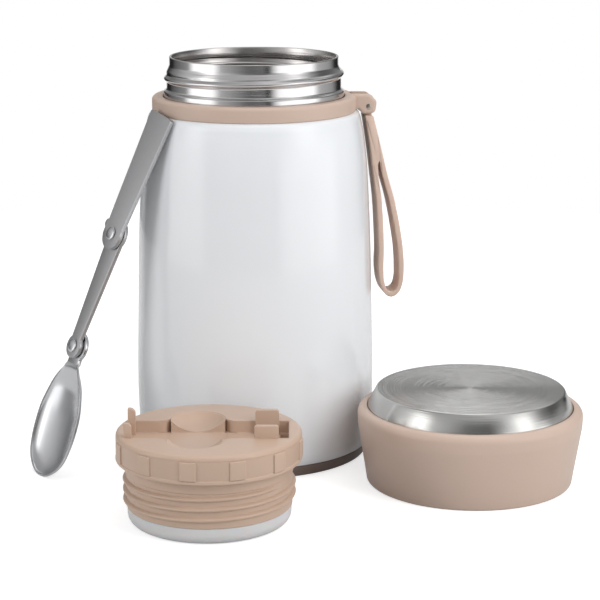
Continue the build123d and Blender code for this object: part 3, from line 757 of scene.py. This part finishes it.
corner_outline = (
    [(FILLET_X - FILLET_RADIUS * math.sin(t), FILLET_Y - FILLET_RADIUS * math.cos(t)) for t in fillet_turns]
    + [(WALL_RADIUS * math.cos(t), SCOOP_Y + WALL_RADIUS * math.sin(t)) for t in wall_turns]
    + [(11.0, 11.5), (FILLET_X, 11.5)]
)
for side_of_tray in (-1, 1):
    for end_of_scoop in (-1, 1):
        outline = [(SCOOP_X + end_of_scoop * across, side_of_tray * away) for across, away in corner_outline]
        corner = plate("corner", outline, -PLATE_Z - 2, -TRAY_Z - 0.1)
        place_piece(corner, Matrix.Rotation(-math.pi / 2, 4, "X"))
        carve(top, corner)
    bpy.ops.object.select_all(action="DESELECT")
    bpy.ops.mesh.primitive_uv_sphere_add(
        segments=160,
        ring_count=96,
        radius=SCOOP_RADIUS / 1000,
        location=(SCOOP_X / 1000, side_of_tray * SCOOP_Y / 1000, SCOOP_Z / 1000),
    )
    carve(top, bpy.context.object)
    scoop_rim = turned(
        "scoop_rim",
        [(0, PLATE_Z - 0.4), (11.5, PLATE_Z - 0.4), (12.3, PLATE_Z + 0.4), (0, PLATE_Z + 0.4)],
        closed=False,
        steps=96,
    )
    place_piece(scoop_rim, Matrix.Translation((SCOOP_X / 1000, side_of_tray * SCOOP_Y / 1000, 0)))
    carve(top, scoop_rim)
hooks = []
for near, far, gap, tip, near_round, far_round in (
    (19.0, 28.9, 10.3, 43.9, 1.1, 1.1),
    (-34.3, -31.1, 9.4, 44.7, 0.3, 2.2),
):
    hook_outline = [(near, 32.8), (far, 32.8), (far, tip, far_round), (near, tip, near_round)]
    hooks.append(plate("hook", hook_outline, gap, gap + HOOK_THICK))
    hooks.append(plate("hook", hook_outline, -gap - HOOK_THICK, -gap))
for hook in hooks:
    soften(hook, 0.25, 3)
gather(top, *hooks)
place_piece(top, STOPPER)
finish_piece(top, "stopper", "beige_plastic", stopper_beige, "stopper_plate")

# ---- Stopper seal ----
# A shallow cup of clear silicone, stretched over the end of the plug, which closes the throat.

seal = turned(
    "seal_cup",
    [(0, 0), (34.0, 0, 4.2), (34.2, 7.3, 0.4), (32.5, 7.3, 0.3), (32.5, 1.5, 1.6), (0, 1.5)],
    closed=False,
)
place_piece(seal, STOPPER)
clear = Finish("clear_silicone", IOR=1.42, Subsurface_Weight=0.35, Subsurface_Scale=0.003, Transmission_Weight=0.15)
clear.feed("Base Color", clear.blend(clear.noise(40.0), (0.70, 0.69, 0.695, 1), (0.77, 0.76, 0.765, 1)))
clear.feed("Roughness", 0.38 + clear.noise(250.0) * 0.12)
clear.bump(clear.noise(1100.0), 0.00002)
finish_piece(seal, "stopper", "clear_silicone", clear, "stopper_seal")

# ---- Cap shell ----
# The outside of the cap, a beige plastic ring that widens upwards and rounds in over the edge of the steel top.

CAP = Matrix.Translation((0.0953, -0.0494, 0))

cap_ring = turned(
    "cap_ring",
    [
        (42.8, 0), (45.0, 0, 1.2), (49.15, 26.0, 12.0), (49.5, 33.8, 3.4), (45.2, 33.8, 0.3), (45.2, 31.6),
        (43.0, 31.6), (43.0, 29.6), (46.9, 26.0), (42.8, 4.0),
    ],
    steps=192,
)
place_piece(cap_ring, CAP)
cap_beige = moulded("cap_beige", (0.57, 0.435, 0.36, 1), roughness=0.36)
finish_piece(cap_ring, "cap", "beige_plastic", cap_beige, "cap_shell")

# ---- Cap top ----
# A shallow dish spun from steel sheet, glued into the cap's shell. The lathe leaves fine rings all over it.

dish = turned(
    "steel_top",
    [
        (0, 40.6), (40.4, 40.6, 0.9), (44.2, 33.6), (44.2, 31.7), (45.0, 31.7), (45.0, 33.8), (41.2, 41.4, 1.2),
        (0, 41.4),
    ],
    closed=False,
    steps=192,
)
place_piece(dish, CAP)
spun = round_steel("spun_steel", (0.58, 0.575, 0.56, 1), 0.17, 0.35, 16000.0, axis=(95.3, -49.4), flat_tilt=1.8)
finish_piece(dish, "cap", "steel_brushed", spun, "cap_top")

# ---- Cap liner and gasket ----
# The inside of the cap: a pale plastic bowl with the thread that takes the neck's ridge, and a thin silicone ring
# in its mouth.

liner = turned(
    "cap_bowl",
    [(0, 37.0), (38.9, 37.0, 3.4), (41.9, 24.0)]
    + rows(41.9, 14.6, 3.8, gap=0.2)
    + [(41.9, 0.6), (42.7, 0.6), (42.7, 3.8), (43.3, 24.0), (40.3, 38.4, 4.0), (0, 38.4)],
    closed=False,
    steps=192,
)
roll_thread(liner, 6.4, 0.0, 1.2, 1.5, -2.2, lambda r, z: r < 42.0 and 3.7 < z < 14.7, full=0.9)
place_piece(liner, CAP)
finish_piece(liner, "cap", "inner_plastic", moulded("inner_plastic", (0.60, 0.46, 0.38, 1), 0.3), "cap_liner")
gasket = turned("cap_gasket_ring", [(42.0, 0), (42.7, 0), (42.7, 0.5), (42.0, 0.5)])
soften(gasket, 0.1, 2)
place_piece(gasket, CAP)
finish_piece(gasket, "cap", "clear_silicone", clear, "cap_gasket")

# ---- Spoon bowl ----
# The bowl with its neck and pivot disc, stamped from one steel sheet and polished like a mirror. The spoon leans
# with its back on the jar's shoulder and its tip on the table.

LINK = 1.8
LEAN = math.radians(20.95)
HEADING = math.radians(216.0)
out_of_jar = Vector((math.cos(HEADING), math.sin(HEADING), 0))
spoon_across = Vector((-out_of_jar.y, out_of_jar.x, 0))
spoon_out = out_of_jar * math.cos(LEAN) + Vector((0, 0, math.sin(LEAN)))
spoon_up = spoon_out.cross(spoon_across)
SPOON = Matrix.Translation((-0.09466, -0.04725, 0.000159)) @ Matrix(
    (spoon_across, -spoon_out, spoon_up)
).transposed().to_4x4()
BOWL_TIP = (-0.4, 0.0)
RIVET_LOW = (-1.8, 59.6)
RIVET_HIGH = (5.6, 112.3)
SPOON_TOP = (16.4, 168.2)
BOWL_DEEP = 5.2
BOWL_HALF = 16.8
BOWL_SHEET = 0.9
BOWL_FLAT = 52.0
NECK_HALF = 4.3
DISC_R = 6.6


def along(start, end):
    """The place of a piece that starts at one place in the spoon's plane and points to another."""
    heading = math.atan2(end[0] - start[0], end[1] - start[1])
    return SPOON @ Matrix.Translation((start[0] / 1000, 0, start[1] / 1000)) @ Matrix.Rotation(heading, 4, "Y")


bowl = draw(
    "bowl",
    eased(
        [
            (0, 0), (4.2, 0.55), (8.3, 2.5), (11.7, 5.3), (14.28, 9.0), (16.1, 15.0), (16.8, 24.0), (16.3, 30.5),
            (14.28, 37.0), (11.26, 43.8), (7.2, 49.0), (4.6, 52.2), (NECK_HALF, 54.0),
        ],
        steps=5,
    ),
    closed=False,
)
bpy.ops.mesh.spin(steps=64, angle=-math.pi, center=(0, 0, 0), axis=(0, 0, 1))
close_up()
for point in bowl.data.vertices:
    fade = min(1.0, max(0.0, (BOWL_FLAT - point.co.z * 1000) / 13.0))
    hollow = fade * (2 - fade)
    set_back = (BOWL_SHEET + 0.05) / 1000 / math.hypot(1, 12 * hollow)
    point.co.y = point.co.y * BOWL_DEEP / BOWL_HALF * hollow + set_back
wall = bowl.modifiers.new("wall", "SOLIDIFY")
wall.thickness = BOWL_SHEET / 1000
wall.offset = -1.0
bpy.ops.object.modifier_apply(modifier=wall.name)
soften(bowl, 0.2, 3, angle=45)
neck_arc = math.asin(NECK_HALF / DISC_R)
disc_points = [
    (DISC_R * math.sin(turn), RIVET_LOW[1] + DISC_R * math.cos(turn))
    for turn in (math.pi - neck_arc - step * (math.tau - 2 * neck_arc) / 48 for step in range(49))
]
tongue = plate("tongue", [(-NECK_HALF, 51.5), (NECK_HALF, 51.5)] + disc_points, 0, LINK)
soften(tongue, 0.3, 3, angle=45)
gather(bowl, tongue)
place_piece(bowl, along(BOWL_TIP, RIVET_LOW))
mirror_steel = Finish("mirror_steel", Metallic=1.0)
cloud = mirror_steel.noise(60.0)
mirror_steel.feed("Base Color", mirror_steel.blend(cloud, (0.60, 0.61, 0.63, 1), (0.66, 0.66, 0.67, 1)))
mirror_steel.feed("Roughness", 0.18 + mirror_steel.noise(120.0) * 0.08)
mirror_steel.bump(mirror_steel.noise(200.0), 0.00002, 0.4)
finish_piece(bowl, "spoon_bowl_part", "steel_polished", mirror_steel, "spoon_bowl", smooth=60)

# ---- Spoon links ----
# Two tapered strips of satin steel. The middle one joins the bowl to the end one, and each turns on a rivet.

LAYER = 2.3
TAB_R = 2.2


def strip(start_half, end_half, start_r, end_r, length):
    """The outline of a tapered strip: a round start, and a disc or two rounded corners at its end."""

    def half(up):
        return start_half + (end_half - start_half) * up / length

    low = math.sqrt(start_r**2 - start_half**2)
    start_turn = math.atan2(half(low), low)
    points = [
        (start_r * math.sin(turn), start_r * math.cos(turn))
        for turn in (start_turn + step * (math.tau - 2 * start_turn) / 32 for step in range(33))
    ]
    if end_r is None:
        return points + rounded([(0, 0), (-end_half, length, 1.2), (end_half, length, 1.2)])[1:]
    end_turn = math.asin(half(length - 6.0) / end_r)
    return points + [
        (end_r * math.sin(turn), length + end_r * math.cos(turn))
        for turn in (-math.pi + end_turn + step * (math.tau - 2 * end_turn) / 48 for step in range(49))
    ]


def link(name, start, end, halves, start_r, end_r, layer):
    """A strip from one place in the spoon's plane to another, in a layer in front of the bowl. A strip without a
    disc at its end has a small stop tab beside its start."""
    front = -(layer * LAYER)
    outline = strip(*halves, start_r, end_r, math.dist(start, end))
    piece = plate(name, [p[:] for p in outline], front, front + LINK)
    if end_r is None:
        turns = (step * math.tau / 32 for step in range(32))
        tab_outline = [(TAB_R * math.cos(turn) - 6.0, TAB_R * math.sin(turn) + 2.8) for turn in turns]
        carve(piece, plate("tab", tab_outline, front, front + LINK), "UNION")
    soften(piece, 0.3, 3, angle=40)
    place_piece(piece, along(start, end))
    return piece


satin = Finish("satin_steel", Metallic=1.0)
turn_to_spoon = SPOON.to_3x3().inverted().to_euler()
strokes = satin.noise(1.0, detail=4.0, where=satin.place(scale=(2600, 2600, 40), turn=turn_to_spoon))
satin.feed("Base Color", satin.blend(strokes, (0.45, 0.45, 0.46, 1), (0.53, 0.53, 0.54, 1)))
satin.feed("Roughness", 0.3 + strokes * 0.16)
satin.bump(strokes, 0.00002)
middle = link("middle_link", RIVET_LOW, RIVET_HIGH, (3.6, 6.3), 5.3, 6.9, 1)
finish_piece(middle, "spoon_middle", "steel_brushed", satin, "spoon_middle_link")
end_piece = link("end_link", RIVET_HIGH, SPOON_TOP, (6.4, 9.0), 7.0, None, 2)
finish_piece(end_piece, "spoon_end", "steel_brushed", satin, "spoon_end_link")

# ---- Spoon rivets ----
# A domed steel rivet through each pair of links, flush at the back, with a thin spring washer between the links.

SHANK_R = 1.9
HEAD_R = 3.0
DOME_R = 2.9


def rivet(name, place, back, front, body, *nodes):
    """A rivet from its flush back to its domed head, both measured out of the spoon's plane."""
    outline = [(0, back), (SHANK_R, back), (SHANK_R, front), (HEAD_R, front, 0.2), (DOME_R, front + 0.5)]
    turns = (step * math.pi / 20 for step in range(1, 10))
    dome = [(DOME_R * math.cos(turn), front + 0.5 + 0.6 * math.sin(turn)) for turn in turns]
    piece = draw(name, rounded(outline + dome + [(0, front + 1.1)]), closed=False)
    bpy.ops.mesh.spin(steps=64, angle=math.tau, center=(0, 0, 0), axis=(0, 0, 1))
    close_up()
    to_place = Matrix.Translation((place[0] / 1000, 0, place[1] / 1000)) @ Matrix.Rotation(math.pi / 2, 4, "X")
    place_piece(piece, SPOON @ to_place)
    finish_piece(piece, body, "steel_polished", mirror_steel, *nodes)


rivet("rivet_low", RIVET_LOW, -LINK, LAYER + 0.1, "spoon_bowl_part", "rivet_lower")
rivet("rivet_high", RIVET_HIGH, LAYER - LINK, 2 * LAYER + 0.1, "spoon_middle", "rivet_upper")
finish_nodes(satin, "washer_lower", "washer_upper")
